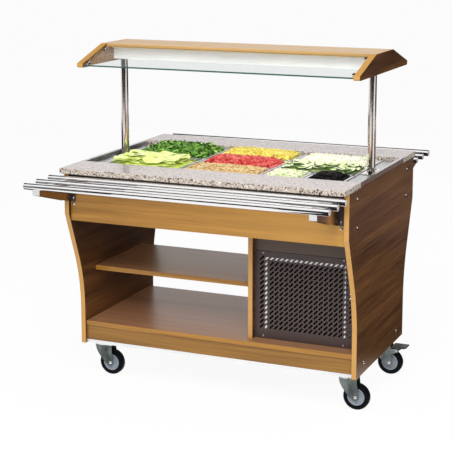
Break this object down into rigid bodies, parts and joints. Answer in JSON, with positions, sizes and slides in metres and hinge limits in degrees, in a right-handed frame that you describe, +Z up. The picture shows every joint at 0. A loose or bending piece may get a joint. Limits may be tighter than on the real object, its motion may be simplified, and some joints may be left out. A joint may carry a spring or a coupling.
{
  "type": "mobile salad bar",
  "caption": "Wooden salad bar cart on castors with a chilled well of food pans between granite strips, a lit glass canopy, folding tray slides and a louvred machine bay.",
  "frame": {"origin": "on the floor under the middle of the cabinet", "axes": "+X to the customer's right, +Y to the back, +Z up"},
  "size_m": [1.207, 1.269, 1.295],
  "materials": {
    "golden_wood": "satin golden brown laminate with a straight grain",
    "granite": "polished top, rough split edges",
    "stainless": "satin stainless steel",
    "polished_steel": "polished",
    "zinc": "zinc plated",
    "dark_metal": "fine powder coat",
    "base_aluminium": "satin",
    "copper_pipe": "bare",
    "foam_jacket": "matt",
    "compressor_black": "semi gloss paint",
    "condenser_metal": "bare",
    "fan_plastic": "satin",
    "switch_red": "gloss",
    "white_metal": "gloss white",
    "lamp_white": "opal",
    "green_glass": "clear float glass with a green edge",
    "tyre_black": "rubber",
    "black_plastic": "satin",
    "lettuce_green": "wet leaves",
    "iceberg_green": "wet leaves",
    "pepper_yellow": "wet",
    "tomato_red": "wet",
    "carrot_orange": "moist",
    "onion_white": "moist",
    "cucumber_green": "moist",
    "cabbage_green": "moist",
    "olive_black": "oily"
  },
  "bodies": {
    "cabinet": {"left_side_panel": "golden_wood", "right_side_panel": "golden_wood", "fascia_boards": "golden_wood", "bottom_deck": "golden_wood", "plinth_boards": "golden_wood", "middle_shelf": "golden_wood", "partition_panel": "golden_wood", "base_frame": "base_aluminium", "granite_strips": "granite", "well_tank": "stainless", "tank_insulation": "foam_jacket", "divider_bars": "stainless", "evaporator_coil": "copper_pipe", "dome_screws": "polished_steel", "louvre_panels": "dark_metal", "louvre_strips": "dark_metal", "compressor": "compressor_black", "condenser": "condenser_metal", "control_panel": "dark_metal", "canopy_posts": "polished_steel", "hood_ends": "golden_wood", "hood_top_board": "golden_wood", "light_housing": "white_metal", "lamp_tube": "lamp_white", "glass_panes": "green_glass", "glass_clips": "polished_steel", "tray_brackets": "dark_metal", "castor_plates": "zinc"},
    "front_tray": {"front_tray_slide": "polished_steel"},
    "rear_tray": {"rear_tray_slide": "polished_steel"},
    "fan": {"condenser_fan": "fan_plastic"},
    "switch": {"light_switch": "switch_red"},
    "front_left_castor": {"front_left_fork": "zinc"},
    "front_left_roller": {"front_left_wheel": "tyre_black"},
    "front_right_castor": {"front_right_fork": "zinc"},
    "front_right_roller": {"front_right_wheel": "tyre_black"},
    "rear_left_castor": {"rear_left_fork": "zinc"},
    "rear_left_roller": {"rear_left_wheel": "tyre_black"},
    "rear_left_pedal": {"rear_left_brake": "black_plastic"},
    "rear_right_castor": {"rear_right_fork": "zinc"},
    "rear_right_roller": {"rear_right_wheel": "tyre_black"},
    "rear_right_pedal": {"rear_right_brake": "black_plastic"},
    "left_rear_pan_set": {"left_rear_pan": "stainless", "green_lettuce": "lettuce_green"},
    "left_front_pan_set": {"left_front_pan": "stainless", "iceberg_lettuce": "iceberg_green"},
    "middle_rear_pan_set": {"middle_rear_pan": "stainless", "yellow_pepper": "pepper_yellow"},
    "middle_centre_pan_set": {"middle_centre_pan": "stainless", "tomato_pieces": "tomato_red"},
    "middle_front_pan_set": {"middle_front_pan": "stainless", "shredded_carrot": "carrot_orange"},
    "right_rear_pan_set": {"right_rear_pan": "stainless", "white_onion": "onion_white"},
    "right_centre_pan_set": {"right_centre_pan": "stainless", "cucumber_slices": "cucumber_green"},
    "right_front_inner_pan_set": {"right_front_inner_pan": "stainless", "pale_cabbage": "cabbage_green"},
    "right_front_outer_pan_set": {"right_front_outer_pan": "stainless", "black_olives": "olive_black"}
  },
  "joints": [
    {"name": "front_tray_fold", "type": "hinge", "parent": "cabinet", "child": "front_tray", "pos_m": [-0.016, -0.42, 0.742], "axis": [1, 0, 0], "range_deg": [0, 90]},
    {"name": "rear_tray_fold", "type": "hinge", "parent": "cabinet", "child": "rear_tray", "pos_m": [-0.016, 0.42, 0.742], "axis": [-1, 0, 0], "range_deg": [0, 90]},
    {"name": "condenser_fan_spin", "type": "hinge", "parent": "cabinet", "child": "fan", "pos_m": [0.3365, -0.143, 0.39085], "axis": [0, 1, 0], "continuous": true},
    {"name": "light_switch_rock", "type": "hinge", "parent": "cabinet", "child": "switch", "pos_m": [0.2775, 0.238, 0.60775], "axis": [1, 0, 0], "range_deg": [0, 16]},
    {"name": "front_left_swivel", "type": "hinge", "parent": "cabinet", "child": "front_left_castor", "pos_m": [-0.505, -0.215, 0.128], "axis": [0, 0, 1], "continuous": true},
    {"name": "front_left_roll", "type": "hinge", "parent": "front_left_castor", "child": "front_left_roller", "pos_m": [-0.47, -0.215, 0.05], "axis": [0, 1, 0], "continuous": true},
    {"name": "front_right_swivel", "type": "hinge", "parent": "cabinet", "child": "front_right_castor", "pos_m": [0.505, -0.215, 0.128], "axis": [0, 0, 1], "continuous": true},
    {"name": "front_right_roll", "type": "hinge", "parent": "front_right_castor", "child": "front_right_roller", "pos_m": [0.54, -0.215, 0.05], "axis": [0, 1, 0], "continuous": true},
    {"name": "rear_left_swivel", "type": "hinge", "parent": "cabinet", "child": "rear_left_castor", "pos_m": [-0.505, 0.215, 0.128], "axis": [0, 0, 1], "continuous": true},
    {"name": "rear_left_roll", "type": "hinge", "parent": "rear_left_castor", "child": "rear_left_roller", "pos_m": [-0.47, 0.215, 0.05], "axis": [0, 1, 0], "continuous": true},
    {"name": "rear_left_brake_press", "type": "hinge", "parent": "rear_left_castor", "child": "rear_left_pedal", "pos_m": [-0.442, 0.215, 0.101], "axis": [0, 1, 0], "range_deg": [0, 12]},
    {"name": "rear_right_swivel", "type": "hinge", "parent": "cabinet", "child": "rear_right_castor", "pos_m": [0.505, 0.215, 0.128], "axis": [0, 0, 1], "continuous": true},
    {"name": "rear_right_roll", "type": "hinge", "parent": "rear_right_castor", "child": "rear_right_roller", "pos_m": [0.54, 0.215, 0.05], "axis": [0, 1, 0], "continuous": true},
    {"name": "rear_right_brake_press", "type": "hinge", "parent": "rear_right_castor", "child": "rear_right_pedal", "pos_m": [0.568, 0.215, 0.101], "axis": [0, 1, 0], "range_deg": [0, 12]},
    {"name": "left_rear_pan_lift", "type": "slide", "parent": "cabinet", "child": "left_rear_pan_set", "axis": [0, 0, 1], "range_m": [0, 0.2]},
    {"name": "left_front_pan_lift", "type": "slide", "parent": "cabinet", "child": "left_front_pan_set", "axis": [0, 0, 1], "range_m": [0, 0.2]},
    {"name": "middle_rear_pan_lift", "type": "slide", "parent": "cabinet", "child": "middle_rear_pan_set", "axis": [0, 0, 1], "range_m": [0, 0.2]},
    {"name": "middle_centre_pan_lift", "type": "slide", "parent": "cabinet", "child": "middle_centre_pan_set", "axis": [0, 0, 1], "range_m": [0, 0.2]},
    {"name": "middle_front_pan_lift", "type": "slide", "parent": "cabinet", "child": "middle_front_pan_set", "axis": [0, 0, 1], "range_m": [0, 0.2]},
    {"name": "right_rear_pan_lift", "type": "slide", "parent": "cabinet", "child": "right_rear_pan_set", "axis": [0, 0, 1], "range_m": [0, 0.2]},
    {"name": "right_centre_pan_lift", "type": "slide", "parent": "cabinet", "child": "right_centre_pan_set", "axis": [0, 0, 1], "range_m": [0, 0.2]},
    {"name": "right_front_inner_pan_lift", "type": "slide", "parent": "cabinet", "child": "right_front_inner_pan_set", "axis": [0, 0, 1], "range_m": [0, 0.2]},
    {"name": "right_front_outer_pan_lift", "type": "slide", "parent": "cabinet", "child": "right_front_outer_pan_set", "axis": [0, 0, 1], "range_m": [0, 0.2]}
  ]
}
